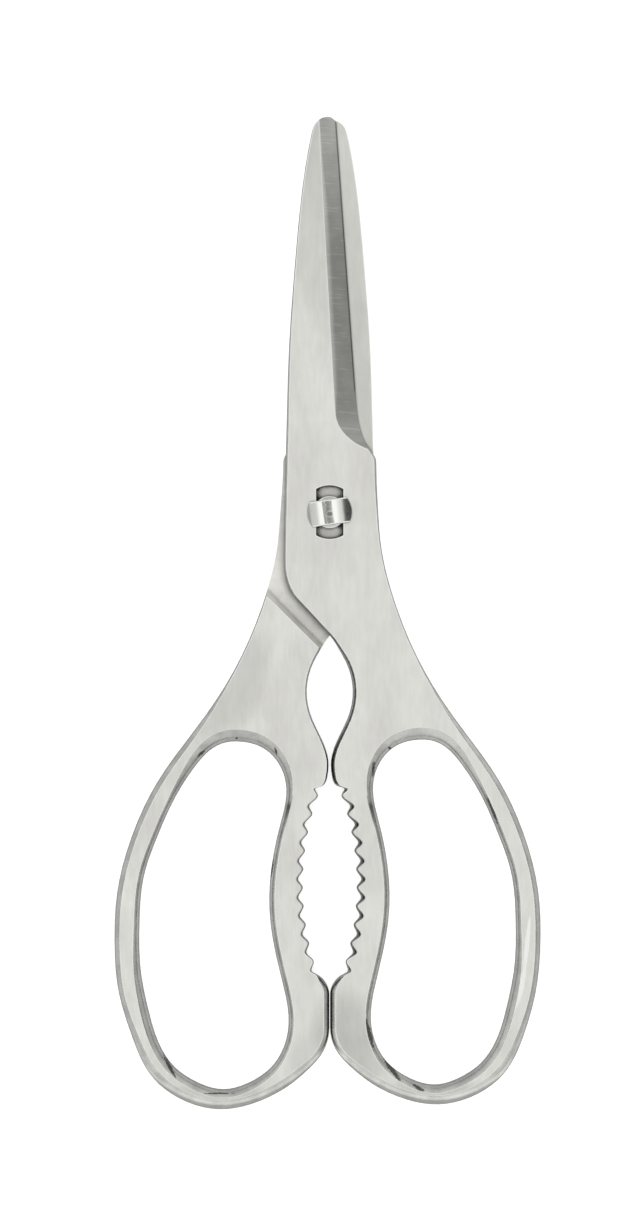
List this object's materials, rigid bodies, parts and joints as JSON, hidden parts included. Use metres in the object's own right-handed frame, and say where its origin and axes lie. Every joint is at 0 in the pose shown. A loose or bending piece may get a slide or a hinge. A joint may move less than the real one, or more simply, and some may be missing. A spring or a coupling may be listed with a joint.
{
  "type": "kitchen shears",
  "caption": "All-steel take-apart kitchen shears with finger bows, a toothed nut jaw between the handles, and a slot and oblong stud at the pivot.",
  "frame": {"origin": "on the pivot's axis, in the plane of the back faces that the shears lie on", "axes": "+X to the right seen from the front, +Y along the length to the blade tips, +Z along the pivot's axis out of the front face"},
  "size_m": [0.0881, 0.2051, 0.0071],
  "materials": {
    "satin_steel": "brushed along the length on the flats, polished on the rounded edges",
    "polished_steel": "mirror polished"
  },
  "bodies": {
    "rear": {"rear_half": "satin_steel", "pivot_stud": "polished_steel"},
    "front": {"front_half": "satin_steel"}
  },
  "joints": [
    {"name": "pivot_hinge", "type": "hinge", "parent": "rear", "child": "front", "pos_m": [0, 0, 0], "axis": [0, 0, 1], "range_deg": [0, 98]}
  ]
}
